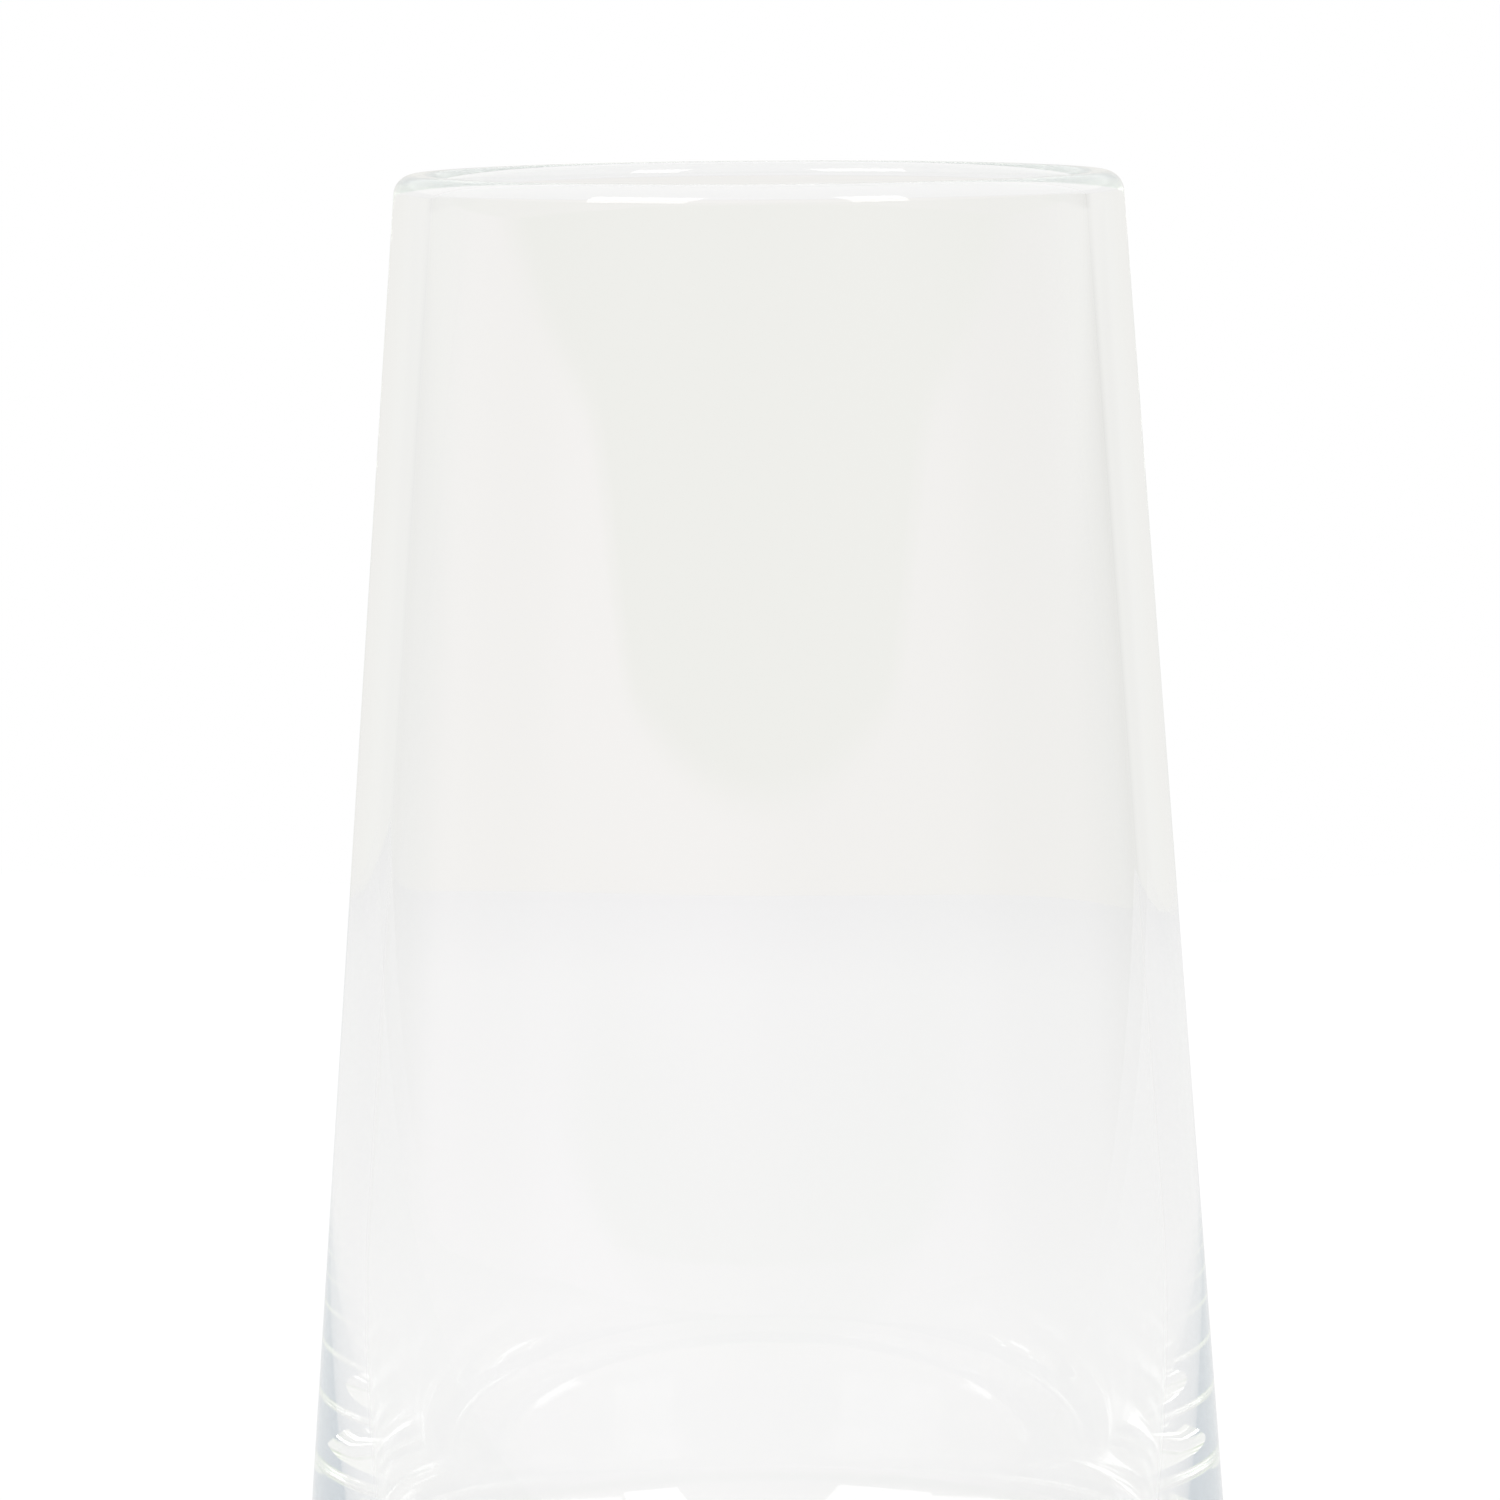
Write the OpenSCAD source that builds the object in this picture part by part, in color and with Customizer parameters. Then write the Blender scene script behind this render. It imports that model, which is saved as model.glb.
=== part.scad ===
// Highball glass: one piece of blown clear glass, narrower at the rim than at the foot,
// with straight thick sides, a fire-polished rim and a heavy base that stands on a flat ring.
// Millimetres, +Z up. The origin is the middle of the foot, on the table.

/* [Body] */
// Height from the table to the top of the rim
height = 140; // [110:1:170]
// Outside diameter at the rim
rim_d = 60; // [52:0.5:74]
// Outside diameter that the straight sides would reach at the table
foot_d = 80; // [66:0.5:94]

/* [Wall] */
// Wall thickness at the rim, measured level
rim_wall = 3.2; // [2.5:0.1:5]
// Height above the table at which the inside bends and the wall starts to thicken
waist_h = 41; // [34:1:70]
// Wall thickness at that height, measured level
waist_wall = 3.2; // [2.5:0.1:5]
// Radius that eases the bend
waist_round = 180; // [20:10:400]

/* [Rim] */
// Radius of the rim's outer edge, as fire polishing leaves it
rim_out_round = 1.7; // [0.3:0.1:2]
// Radius of its inner edge
rim_in_round = 1; // [0.3:0.1:1.5]

/* [Base] */
// Glass under the floor, down to the table
base_t = 14; // [8:0.5:20]
// Wall thickness at the height of the floor, measured level
floor_wall = 7; // [5.5:0.1:10]
// Radius of the bowl where the floor turns up into the wall
floor_round = 12; // [4:0.5:14]
// Radius of the outside heel, between the wall and the table
heel_round = 5; // [1:0.5:9]
// Width of the flat ring that the glass stands on
ring_w = 5; // [2:0.5:12]
// Height of the hollow underneath, inside the ring
punt_h = 1.5; // [0.5:0.1:4]

/* [Hidden] */
$fn = 180;

// Each arc is drawn wider by this share of its radius, and at least by this much,
// so that it meets the straight sides in one clean edge
overlap_share = 0.00004;
least_overlap = 0.0005;

// The half section's corners, as [radius, height]
foot = [foot_d / 2, 0];
lip = [rim_d / 2, height];
lip_mid = [0, height];
lip_inside = lip - [rim_wall, 0];
waist = wall_at(waist_h) - [waist_wall, 0];
floor_edge = wall_at(base_t) - [floor_wall, 0];
floor_mid = [0, base_t];
foot_mid = [0, 0];

// The rim's two edges fit in its wall, with at least a narrow flat between them
least_flat = 0.1;
rim_out_reach = corner_reach(foot, lip, lip_mid, rim_out_round);
rim_in_reach = corner_reach(lip, lip_inside, waist, rim_in_round);
rim_fit = min(1, (rim_wall - least_flat) / (rim_out_reach + rim_in_reach));

// The bend's arc ends above the one that turns into the floor
waist_room = norm(waist - floor_edge) - corner_reach(floor_mid, floor_edge, waist, floor_round);
waist_r = min(waist_round, waist_room * tan(half_angle(lip_inside, waist, floor_edge)));

// The ring lies inside the heel, and the hollow's edge inside the ring
ring_outer_r = foot.x - corner_reach(foot_mid, foot, lip, heel_round);
ring_inner_r = ring_outer_r - ring_w;
punt_r = (pow(ring_inner_r, 2) + pow(punt_h, 2)) / (2 * punt_h);

function unit(v) = v / norm(v);

// Point of the straight outside at a height above the table
function wall_at(h) = foot + (lip - foot) * h / height;

// Half the angle at a corner between two sides
function half_angle(before, corner, after) = acos(unit(before - corner) * unit(after - corner)) / 2;

// Distance from a corner to where an arc of radius r touches its sides
function corner_reach(before, corner, after, r) = r / tan(half_angle(before, corner, after));

// What rounding a corner to radius r takes away, and as much again past the corner for a clean cut
module corner_piece(before, corner, after, r) {
  to_before = unit(before - corner);
  to_after = unit(after - corner);
  reach = corner_reach(before, corner, after, r);
  to_centre = unit(to_before + to_after) * r / sin(half_angle(before, corner, after));
  difference() {
    polygon([
      corner + to_centre,
      corner + reach * to_before,
      corner - to_centre,
      corner + reach * to_after,
    ]);
    translate(corner + to_centre)
      circle(r + max(least_overlap, r * overlap_share));
  }
}

// Half sections, from the axis outwards: the solid outer form, the bowl in it and the hollow underneath
module outer_form() {
  difference() {
    polygon([foot_mid, foot, lip, lip_mid]);
    corner_piece(foot_mid, foot, lip, heel_round);
    corner_piece(foot, lip, lip_mid, rim_fit * rim_out_round);
  }
}

module bowl() {
  difference() {
    polygon([floor_mid, floor_edge, waist, lip_inside, lip_mid]);
    corner_piece(floor_mid, floor_edge, waist, floor_round);
    corner_piece(floor_edge, waist, lip_inside, waist_r);
  }
}

module punt() {
  translate([0, punt_h - punt_r])
    circle(punt_r);
}

module tumbler() {
  color([0.92, 0.95, 0.93, 0.4])
    rotate_extrude()
      difference() {
        outer_form();
        bowl();
        corner_piece(lip, lip_inside, waist, rim_fit * rim_in_round);
        punt();
      }
}

tumbler();
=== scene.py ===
"""Clear highball glass, seen from just above its rim, on a pale table in a white studio."""

import math

import bpy
from mathutils import Matrix, Vector


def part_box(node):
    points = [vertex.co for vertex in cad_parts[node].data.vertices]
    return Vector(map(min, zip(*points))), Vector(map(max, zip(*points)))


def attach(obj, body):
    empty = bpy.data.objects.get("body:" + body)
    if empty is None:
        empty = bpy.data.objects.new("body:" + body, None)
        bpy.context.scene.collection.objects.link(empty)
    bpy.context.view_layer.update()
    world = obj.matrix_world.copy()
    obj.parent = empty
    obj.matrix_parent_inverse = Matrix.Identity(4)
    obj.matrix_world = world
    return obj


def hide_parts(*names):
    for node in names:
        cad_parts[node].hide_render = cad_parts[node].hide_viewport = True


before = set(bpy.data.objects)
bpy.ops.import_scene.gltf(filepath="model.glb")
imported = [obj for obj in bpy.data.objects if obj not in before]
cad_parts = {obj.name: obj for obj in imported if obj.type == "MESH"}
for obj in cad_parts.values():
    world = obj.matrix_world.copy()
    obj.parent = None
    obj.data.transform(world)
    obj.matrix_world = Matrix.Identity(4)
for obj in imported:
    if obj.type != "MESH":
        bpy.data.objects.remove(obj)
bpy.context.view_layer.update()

MM = 0.001

# The glass, in metres, as in the solid that it stands for
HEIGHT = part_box("tumbler")[1].z
RIM_R = 30 * MM
FOOT_R = 40 * MM
RIM_WALL = 3.2 * MM
WAIST_H = 41 * MM
WAIST_WALL = 3.2 * MM
WAIST_ROUND = 180 * MM
FLOOR_WALL = 7 * MM
RIM_OUT_ROUND = 1.7 * MM
RIM_IN_ROUND = 1.0 * MM
BASE_T = 14 * MM
FLOOR_ROUND = 12 * MM
HEEL_ROUND = 5 * MM
RING_W = 5 * MM
PUNT_H = 1.5 * MM

# Fineness of the turned mesh
STEP = 1.25 * MM
ARC_STEP = math.radians(5)
LEAST_ARC_STEPS = 4
SEGMENTS = 288

# What the glass does to light, and what it takes out of it on a long way through, per metre
GLASS_IOR = 1.52
GLASS_TINT = (0.5, 0.8, 0.3, 1)
GLASS_TINT_DENSITY = 0.35

# Its surface: faint waves that run up and down, and smears where their noise is high
WAVES_PER_METRE = (220, 220, 12)
WAVE_DETAIL = 1.0
WAVE_HEIGHT = 0.002 * MM
SMEARS_PER_METRE = 45
SMEAR_DETAIL = 4.0
SMEAR_START, SMEAR_FULL = 0.55, 0.8
SMEAR_ROUGHNESS = 0.04

# The camera: a long lens one metre away, a little above the rim
CAMERA_DISTANCE = 1.0
CAMERA_ABOVE_RIM = 33.7 * MM
CAMERA_PITCH = math.radians(4.659)
CAMERA_YAW = math.radians(0.059)
CAMERA_ROLL = math.radians(-0.386)
LENS = 291.0
SENSOR = 36.0

# The table top, in metres. Painted shade darkens it from TABLE_SHADE before its back edge up to the edge
TABLE_HALF = 1.5
TABLE_FRONT = -0.9
TABLE_BACK = 0.857
TABLE_BACK_BEND = 0.025
TABLE_BACK_FLARE = 0.5
TABLE_BACK_SKEW = -0.06
TABLE_SHADE = 0.14
TABLE_STEPS = 120

# Its surface, and the share of its glow. All light levels here have white at 1
FLOOR_COLOUR = (0.92, 0.92, 0.92, 1)
# Painted shade: the table's colour darkens towards its back edge
FLOOR_EDGE_PAINTED_SHADE = (0.88, 0.88, 0.885, 1)
FLOOR_ROUGHNESS = 0.6
FLOOR_SPECULAR = 0.2
FLOOR_GLOW = 0.75
FLOOR_GLOW_THROUGH_GLASS = 0.55

# The glow's tone: white to the camera, and otherwise by the distance from the glass's axis,
# with painted light under the base and a painted contact shadow, a darker bluish ring, where the glass
# stands
FLOOR_WHITE = (1.08, 1.08, 1.08, 1)
FLOOR_THROUGH_GLASS = (0.93, 0.93, 0.93, 1)
# Painted shade near the back edge, in the glow that shows through the glass
FLOOR_EDGE_THROUGH_GLASS_PAINTED_SHADE = (0.89, 0.89, 0.895, 1)
# Painted light: a brighter glow under the base, as if light came through it
FLOOR_PAINTED_LIGHT_UNDER_BASE = (1.05, 1.05, 1.05, 1)
# Painted shadow: a darker, bluish ring where the foot stands on the table
FLOOR_PAINTED_CONTACT_SHADOW = (0.71, 0.765, 0.82, 1)
CONTACT_SHADOW = [
    (27.5 * MM, FLOOR_PAINTED_LIGHT_UNDER_BASE),
    (29.0 * MM, FLOOR_PAINTED_CONTACT_SHADOW),
    (34.5 * MM, FLOOR_PAINTED_CONTACT_SHADOW),
    (36.0 * MM, FLOOR_THROUGH_GLASS),
]

# Tones of the studio, as the glass mirrors and bends them
WHITE = (1, 1, 1, 1)
BACKDROP = (0.866, 0.858, 0.836, 1)
BACKDROP_SIDE = (0.885, 0.885, 0.865, 1)
PANEL_LEFT = (1.22, 1.15, 1.2, 1)
PANEL_LEFT_END = (1.06, 1.02, 1.03, 1)
PANEL_RIGHT = (1.02, 0.98, 1.0, 1)
PANEL_RIGHT_END = (0.84, 0.83, 0.82, 1)
CORNER_LEFT = (0.8, 0.8, 0.79, 1)
CORNER_RIGHT = (0.72, 0.72, 0.7, 1)
ROOM = (0.72, 0.8, 0.66, 1)
STRIP_SHARE = 0.6
CEILING = (1.19, 1.18, 1.14, 1)
AMBIENT = (0.8, 0.8, 0.8, 1)

# Where its parts lie, seen from the glass, in degrees. Each pair is the start and end of a soft change.
# ASIDE counts from the line through camera and glass, UP from the level of the table
SIDE_PANELS_ASIDE = (38, 56)
PANEL_ENDS_ASIDE = (58, 80)
FRONT_PANEL_TOP_UP = 3.27
STRIP_LOWER_EDGE_UP = (0.5, 0.75)
STRIP_UPPER_EDGE_UP = (2.8, 0.9)
STRIP_ENDS_ASIDE = (75, 40)
BACKDROP_SIDES_ASIDE = (6, 25)
CORNERS_ASIDE = (39, 47)
CORNERS_UP = (1.2, 0.2)
CEILING_UP = (10, 16)

# The same for parts that are placed by the x, y or z of the direction, which has length 1.
# The side panels get lower towards the back
LEFT_TO_RIGHT_X = (-0.3, 0.3)
BEHIND_Y = (0.2, 0.45)
SIDE_PANEL_TOP_Z = 0.0641
SIDE_PANEL_TOP_SLOPE = 0.0159
PANEL_TOP_BLUR_Z = (-0.003, 0.003)
LEAST_LEVEL = 0.001

# The softboxes, with their azimuths from the camera's side to its right, and their widths
SOFTBOXES = [
    ("light_left", math.radians(-39.5), 0.69),
    ("light_right", math.radians(38.8), 0.39),
]
SOFTBOX_ELEVATION = math.radians(30)
SOFTBOX_DISTANCE = 1.2
SOFTBOX_HEIGHT = 0.6
SOFTBOX_RADIANCE = 2.8

# Light that runs round inside the rim and the base is followed to its end
BOUNCES = 256


def corner_arc(before, corner, after, radius):
    """Points of the arc that rounds a corner of the section, from one tangent point to the other."""
    to_before = (before - corner).normalized()
    to_after = (after - corner).normalized()
    half = to_before.angle(to_after) / 2
    reach = radius / math.tan(half)
    centre = corner + (to_before + to_after).normalized() * radius / math.sin(half)
    start = corner + to_before * reach - centre
    end = corner + to_after * reach - centre
    turn = math.atan2(start.cross(end), start.dot(end))
    steps = max(
        LEAST_ARC_STEPS,
        math.ceil(abs(turn) / ARC_STEP),
        math.ceil(abs(turn) * radius / STEP),
    )
    return [centre + Matrix.Rotation(turn * i / steps, 2) @ start for i in range(steps + 1)]


def dome(edge_r, height):
    """Points of the shallow hollow under the base, from the axis to its edge, as [radius, height]."""
    sphere_r = (edge_r**2 + height**2) / (2 * height)
    steps = math.ceil(edge_r / STEP)
    points = []
    for i in range(steps + 1):
        r = edge_r * i / steps
        points.append(Vector((r, height - sphere_r + math.sqrt(sphere_r**2 - r**2))))
    return points


def fill_in(points):
    """Adds points along straight stretches, so that no band of the turned mesh is wider than STEP."""
    dense = [points[0]]
    for a, b in zip(points, points[1:]):
        steps = max(1, math.ceil((b - a).length / STEP))
        dense += [a.lerp(b, i / steps) for i in range(1, steps + 1)]
    return dense


def glass_section():
    """Half section of the glass, from the middle of the hollow underneath to the middle of the floor."""
    foot_mid = Vector((0, 0))
    foot = Vector((FOOT_R, 0))
    lip = Vector((RIM_R, HEIGHT))
    lip_inside = lip - Vector((RIM_WALL, 0))
    waist = foot.lerp(lip, WAIST_H / HEIGHT) - Vector((WAIST_WALL, 0))
    floor_edge = foot.lerp(lip, BASE_T / HEIGHT) - Vector((FLOOR_WALL, 0))
    floor_mid = Vector((0, BASE_T))
    heel = corner_arc(foot_mid, foot, lip, HEEL_ROUND)
    points = dome(heel[0].x - RING_W, PUNT_H)
    points += heel
    points += corner_arc(foot, lip, lip_inside, RIM_OUT_ROUND)
    points += corner_arc(lip, lip_inside, waist, RIM_IN_ROUND)
    points += corner_arc(lip_inside, waist, floor_edge, WAIST_ROUND)
    points += corner_arc(waist, floor_edge, floor_mid, FLOOR_ROUND)
    points.append(floor_mid)
    return fill_in(points)


def add_object(name, data):
    obj = bpy.data.objects.new(name, data)
    bpy.context.scene.collection.objects.link(obj)
    return obj


def lathe(name, section):
    """Turns a half section that starts and ends on the axis into a closed smooth mesh."""
    rings = section[1:-1]
    verts = [(0, 0, section[0].y)]
    for p in rings:
        for i in range(SEGMENTS):
            angle = math.tau * i / SEGMENTS
            verts.append((p.x * math.cos(angle), p.x * math.sin(angle), p.y))
    verts.append((0, 0, section[-1].y))
    last = len(verts) - 1
    top = 1 + (len(rings) - 1) * SEGMENTS
    faces = []
    for i in range(SEGMENTS):
        j = (i + 1) % SEGMENTS
        faces.append((0, 1 + j, 1 + i))
        for low in range(1, top, SEGMENTS):
            high = low + SEGMENTS
            faces.append((low + i, low + j, high + j, high + i))
        faces.append((top + i, top + j, last))
    mesh = bpy.data.meshes.new(name)
    mesh.from_pydata(verts, [], faces)
    mesh.shade_smooth()
    return add_object(name, mesh)


def put(tree, socket, value):
    """Links a socket to the output that it takes its value from, or sets it to a constant."""
    if isinstance(value, bpy.types.NodeSocket):
        tree.links.new(value, socket)
    else:
        socket.default_value = value


def calculate(tree, operation, a, b=0.0):
    node = tree.nodes.new("ShaderNodeMath")
    node.operation = operation
    put(tree, node.inputs[0], a)
    put(tree, node.inputs[1], b)
    return node.outputs[0]


def map_range(tree, value, to_start, to_end, start=0.0, end=1.0):
    node = tree.nodes.new("ShaderNodeMapRange")
    put(tree, node.inputs["Value"], value)
    put(tree, node.inputs["From Min"], start)
    put(tree, node.inputs["From Max"], end)
    put(tree, node.inputs["To Min"], to_start)
    put(tree, node.inputs["To Max"], to_end)
    return node.outputs["Result"]


def ramp(tree, value, start, end):
    """0 up to the start and 1 from the end on, with a soft change between them."""
    output = map_range(tree, value, 0.0, 1.0, start, end)
    output.node.interpolation_type = "SMOOTHSTEP"
    return output


def angle_ramp(tree, value, degrees):
    """The same for a value that is the sine of an angle."""
    start, end = [math.sin(math.radians(d)) for d in degrees]
    return ramp(tree, value, start, end)


def blend(tree, share, a, b):
    """Colour a where the share is 0, and colour b where it is 1."""
    node = tree.nodes.new("ShaderNodeMix")
    node.data_type = "RGBA"
    put(tree, node.inputs["Factor"], share)
    put(tree, node.inputs[6], a)
    put(tree, node.inputs[7], b)
    return node.outputs[2]


def noise(tree, place, scale, detail):
    node = tree.nodes.new("ShaderNodeTexNoise")
    put(tree, node.inputs["Vector"], place)
    put(tree, node.inputs["Scale"], scale)
    put(tree, node.inputs["Detail"], detail)
    return node.outputs[0]


def clear_glass():
    """Fire-polished glass with the faint upright waves of blown glass, smears and a trace of tint."""
    mat = bpy.data.materials.new("clear_glass")
    mat.use_nodes = True
    tree = mat.node_tree
    shader = tree.nodes["Principled BSDF"]
    shader.inputs["Base Color"].default_value = WHITE
    shader.inputs["IOR"].default_value = GLASS_IOR
    shader.inputs["Transmission Weight"].default_value = 1.0

    place = tree.nodes.new("ShaderNodeTexCoord").outputs["Object"]
    stretch = tree.nodes.new("ShaderNodeMapping")
    stretch.inputs["Scale"].default_value = WAVES_PER_METRE
    put(tree, stretch.inputs["Vector"], place)
    bump = tree.nodes.new("ShaderNodeBump")
    bump.inputs["Distance"].default_value = WAVE_HEIGHT
    put(tree, bump.inputs["Height"], noise(tree, stretch.outputs[0], 1.0, WAVE_DETAIL))
    put(tree, shader.inputs["Normal"], bump.outputs[0])

    smears = noise(tree, place, SMEARS_PER_METRE, SMEAR_DETAIL)
    film = map_range(tree, smears, 0.0, SMEAR_ROUGHNESS, SMEAR_START, SMEAR_FULL)
    put(tree, shader.inputs["Roughness"], film)

    tint = tree.nodes.new("ShaderNodeVolumeAbsorption")
    tint.inputs["Color"].default_value = GLASS_TINT
    tint.inputs["Density"].default_value = GLASS_TINT_DENSITY
    put(tree, tree.nodes["Material Output"].inputs["Volume"], tint.outputs[0])
    return mat


def floor_material():
    """Matt white table with a glow of its own, which leaves its shadows in. The glow holds painted shade
    near the back edge, a painted contact shadow round the foot and painted light under the base.
    """
    mat = bpy.data.materials.new("table_white")
    mat.use_nodes = True
    tree = mat.node_tree
    shader = tree.nodes["Principled BSDF"]
    # Painted shade: darker colour and glow towards the table's back edge
    attribute = tree.nodes.new("ShaderNodeAttribute")
    attribute.attribute_name = "painted_back_edge_shade"
    painted_edge_shade = attribute.outputs["Fac"]
    colour = blend(tree, painted_edge_shade, FLOOR_COLOUR, FLOOR_EDGE_PAINTED_SHADE)
    put(tree, shader.inputs["Base Color"], colour)
    shader.inputs["Roughness"].default_value = FLOOR_ROUGHNESS
    shader.inputs["Specular IOR Level"].default_value = FLOOR_SPECULAR

    # The glow's tone, with painted light under the base, a painted contact shadow round the foot and
    # painted shade near the back edge
    from_axis = tree.nodes.new("ShaderNodeVectorMath")
    from_axis.operation = "LENGTH"
    put(tree, from_axis.inputs[0], tree.nodes.new("ShaderNodeNewGeometry").outputs["Position"])
    # Painted light under the base and a painted contact shadow round the foot, by the distance from the
    # axis
    painted_foot_light_and_shadow = tree.nodes.new("ShaderNodeValToRGB")
    put(tree, painted_foot_light_and_shadow.inputs["Fac"], calculate(tree, "DIVIDE", from_axis.outputs["Value"], FOOT_R))
    stops = painted_foot_light_and_shadow.color_ramp.elements
    while len(stops) > 1:
        stops.remove(stops[-1])
    stops[0].position, stops[0].color = 0.0, FLOOR_PAINTED_LIGHT_UNDER_BASE
    for radius, tone_there in CONTACT_SHADOW:
        stops.new(radius / FOOT_R).color = tone_there
    path = tree.nodes.new("ShaderNodeLightPath")
    # Painted shade near the back edge, in the glow as well
    tone = blend(tree, painted_edge_shade, painted_foot_light_and_shadow.outputs["Color"], FLOOR_EDGE_THROUGH_GLASS_PAINTED_SHADE)
    tone = blend(tree, path.outputs["Is Camera Ray"], tone, FLOOR_WHITE)
    glow = tree.nodes.new("ShaderNodeEmission")
    put(tree, glow.inputs["Color"], tone)

    # Its share, which is nothing in the light that falls on other things
    share = map_range(tree, path.outputs["Is Camera Ray"], FLOOR_GLOW_THROUGH_GLASS, FLOOR_GLOW)
    share = map_range(tree, path.outputs["Is Diffuse Ray"], share, 0.0)
    mix = tree.nodes.new("ShaderNodeMixShader")
    put(tree, mix.inputs["Fac"], share)
    put(tree, mix.inputs[1], shader.outputs[0])
    put(tree, mix.inputs[2], glow.outputs[0])
    put(tree, tree.nodes["Material Output"].inputs["Surface"], mix.outputs[0])
    return mat


def add_floor():
    """The table. Its back edge flares, so that the glass, which bends it, shows one straight faint line."""
    verts, painted_edge_shade, faces = [], [], []
    for i in range(TABLE_STEPS + 1):
        x = TABLE_HALF * (2 * i / TABLE_STEPS - 1)
        flare = math.hypot(TABLE_BACK_BEND, TABLE_BACK_FLARE * x)
        back = TABLE_BACK - TABLE_BACK_BEND + flare + TABLE_BACK_SKEW * x
        verts += [(x, TABLE_FRONT, 0), (x, back - TABLE_SHADE, 0), (x, back, 0)]
        # Painted shade mask: 1 at the back edge, 0 from TABLE_SHADE before it
        painted_edge_shade += [0, 0, 1]
    for i in range(0, 3 * TABLE_STEPS, 3):
        faces += [(i, i + 3, i + 4, i + 1), (i + 1, i + 4, i + 5, i + 2)]
    mesh = bpy.data.meshes.new("table_top")
    mesh.from_pydata(verts, [], faces)
    mesh.attributes.new("painted_back_edge_shade", "FLOAT", "POINT").data.foreach_set("value", painted_edge_shade)
    mesh.materials.append(floor_material())
    add_object("table_top", mesh)


def add_softbox(name, azimuth, width):
    """A soft rectangular light, aimed at the middle of the glass."""
    data = bpy.data.lights.new(name, "AREA")
    data.shape = "RECTANGLE"
    data.size = width
    data.size_y = SOFTBOX_HEIGHT
    data.energy = SOFTBOX_RADIANCE * math.pi * width * SOFTBOX_HEIGHT
    away = Vector((
        math.sin(azimuth) * math.cos(SOFTBOX_ELEVATION),
        -math.cos(azimuth) * math.cos(SOFTBOX_ELEVATION),
        math.sin(SOFTBOX_ELEVATION),
    ))
    obj = add_object(name, data)
    obj.location = Vector((0, 0, HEIGHT / 2)) + away * SOFTBOX_DISTANCE
    obj.rotation_euler = away.to_track_quat("Z", "Y").to_euler()
    obj.visible_camera = False


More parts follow.
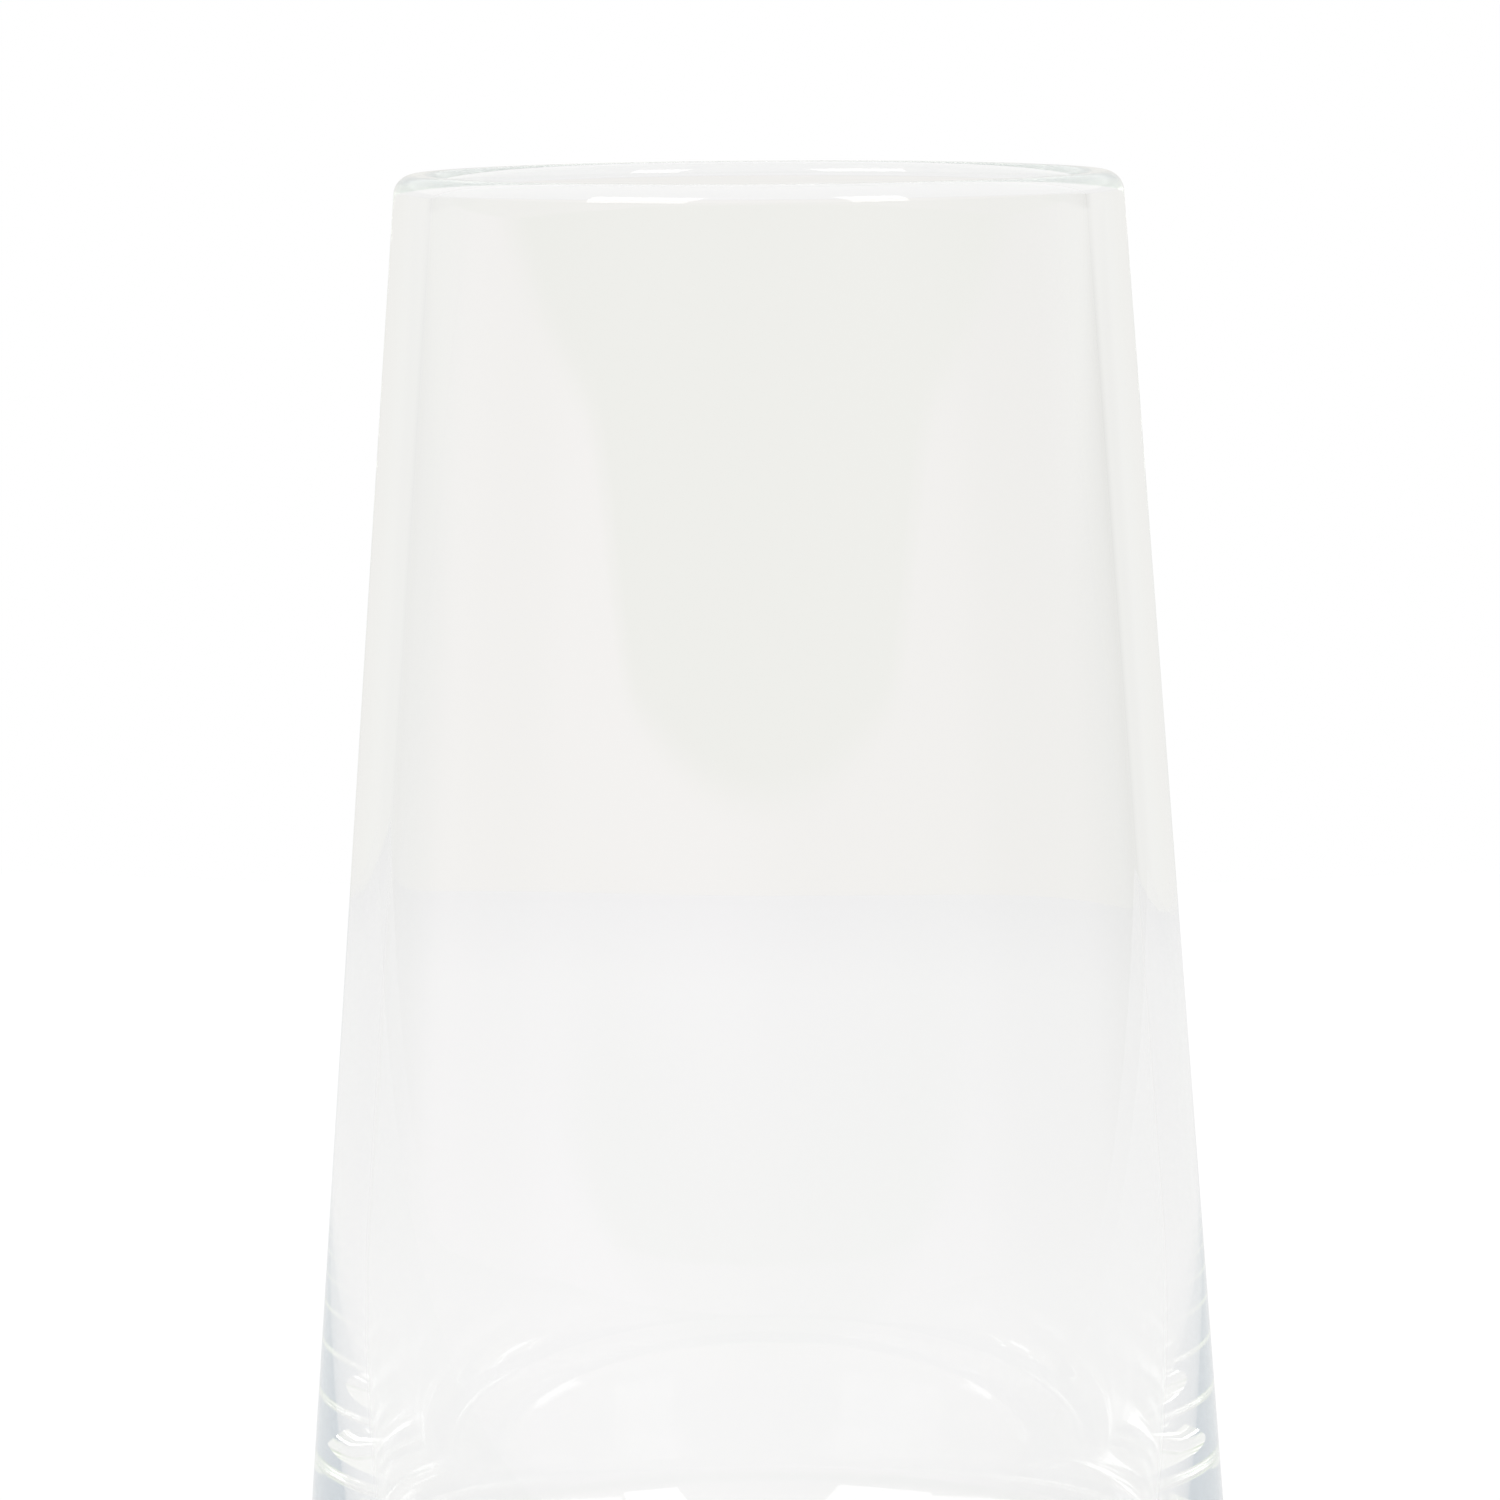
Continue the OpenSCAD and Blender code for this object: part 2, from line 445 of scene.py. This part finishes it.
def add_world():
    """A studio that is white to the camera, with paler and darker parts for the glass to show."""
    world = bpy.data.worlds.new("studio")
    bpy.context.scene.world = world
    world.use_nodes = True
    tree = world.node_tree
    tree.nodes.clear()

    split = tree.nodes.new("ShaderNodeSeparateXYZ")
    put(tree, split.inputs[0], tree.nodes.new("ShaderNodeTexCoord").outputs["Generated"])
    x, y, z = split.outputs
    squares = calculate(
        tree, "ADD", calculate(tree, "MULTIPLY", x, x), calculate(tree, "MULTIPLY", y, y)
    )
    level = calculate(tree, "MAXIMUM", calculate(tree, "SQRT", squares), LEAST_LEVEL)
    aside = calculate(tree, "DIVIDE", calculate(tree, "ABSOLUTE", x), level)
    to_right = ramp(tree, x, *LEFT_TO_RIGHT_X)

    # Pale panels stand in front and at the sides, with a dimmer strip along them. Above is the room
    panel = blend(tree, to_right, PANEL_LEFT, PANEL_RIGHT)
    panel_end = blend(tree, to_right, PANEL_LEFT_END, PANEL_RIGHT_END)
    panel = blend(tree, angle_ramp(tree, aside, PANEL_ENDS_ASIDE), panel, panel_end)
    front_top = math.sin(math.radians(FRONT_PANEL_TOP_UP))
    slope = calculate(tree, "MULTIPLY", y, SIDE_PANEL_TOP_SLOPE)
    side_top = calculate(tree, "SUBTRACT", SIDE_PANEL_TOP_Z, slope)
    rise = calculate(
        tree,
        "MULTIPLY",
        angle_ramp(tree, aside, SIDE_PANELS_ASIDE),
        calculate(tree, "SUBTRACT", side_top, front_top),
    )
    above_top = calculate(tree, "SUBTRACT", z, calculate(tree, "ADD", rise, front_top))
    over_top = ramp(tree, above_top, *PANEL_TOP_BLUR_Z)
    strip = calculate(
        tree,
        "MULTIPLY",
        angle_ramp(tree, z, STRIP_LOWER_EDGE_UP),
        angle_ramp(tree, z, STRIP_UPPER_EDGE_UP),
    )
    strip = calculate(tree, "MULTIPLY", strip, angle_ramp(tree, aside, STRIP_ENDS_ASIDE))
    strip = calculate(tree, "MULTIPLY", strip, STRIP_SHARE)
    front = blend(tree, calculate(tree, "MAXIMUM", over_top, strip), panel, ROOM)

    # Behind the glass hangs the backdrop, which is what shows through it, with dimmer corners
    back = blend(tree, angle_ramp(tree, aside, BACKDROP_SIDES_ASIDE), BACKDROP, BACKDROP_SIDE)
    in_corner = calculate(
        tree,
        "MULTIPLY",
        angle_ramp(tree, aside, CORNERS_ASIDE),
        angle_ramp(tree, z, CORNERS_UP),
    )
    back = blend(tree, in_corner, back, blend(tree, to_right, CORNER_LEFT, CORNER_RIGHT))
    studio = blend(tree, ramp(tree, y, *BEHIND_Y), front, back)
    studio = blend(tree, angle_ramp(tree, z, CEILING_UP), studio, CEILING)

    path = tree.nodes.new("ShaderNodeLightPath")
    lit = blend(tree, path.outputs["Is Diffuse Ray"], studio, AMBIENT)
    background = tree.nodes.new("ShaderNodeBackground")
    put(tree, background.inputs["Color"], blend(tree, path.outputs["Is Camera Ray"], lit, WHITE))
    out = tree.nodes.new("ShaderNodeOutputWorld")
    put(tree, out.inputs["Surface"], background.outputs[0])


def add_camera():
    data = bpy.data.cameras.new("camera")
    data.lens = LENS
    data.sensor_width = SENSOR
    obj = add_object("camera", data)
    turn = Matrix.Rotation(CAMERA_YAW, 4, "Z")
    tilt = Matrix.Rotation(math.pi / 2 - CAMERA_PITCH, 4, "X")
    roll = Matrix.Rotation(CAMERA_ROLL, 4, "Z")
    place = Matrix.Translation((0, -CAMERA_DISTANCE, HEIGHT + CAMERA_ABOVE_RIM))
    obj.matrix_world = place @ turn @ tilt @ roll
    bpy.context.scene.camera = obj


glass = lathe("glass", glass_section())
glass.data.materials.append(clear_glass())
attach(glass, "root")
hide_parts("tumbler")

add_floor()
add_world()
for name, azimuth, width in SOFTBOXES:
    add_softbox(name, azimuth, width)
add_camera()

cycles = bpy.context.scene.cycles
cycles.max_bounces = BOUNCES
cycles.transmission_bounces = BOUNCES
cycles.glossy_bounces = BOUNCES
bpy.context.scene.view_settings.view_transform = "Standard"
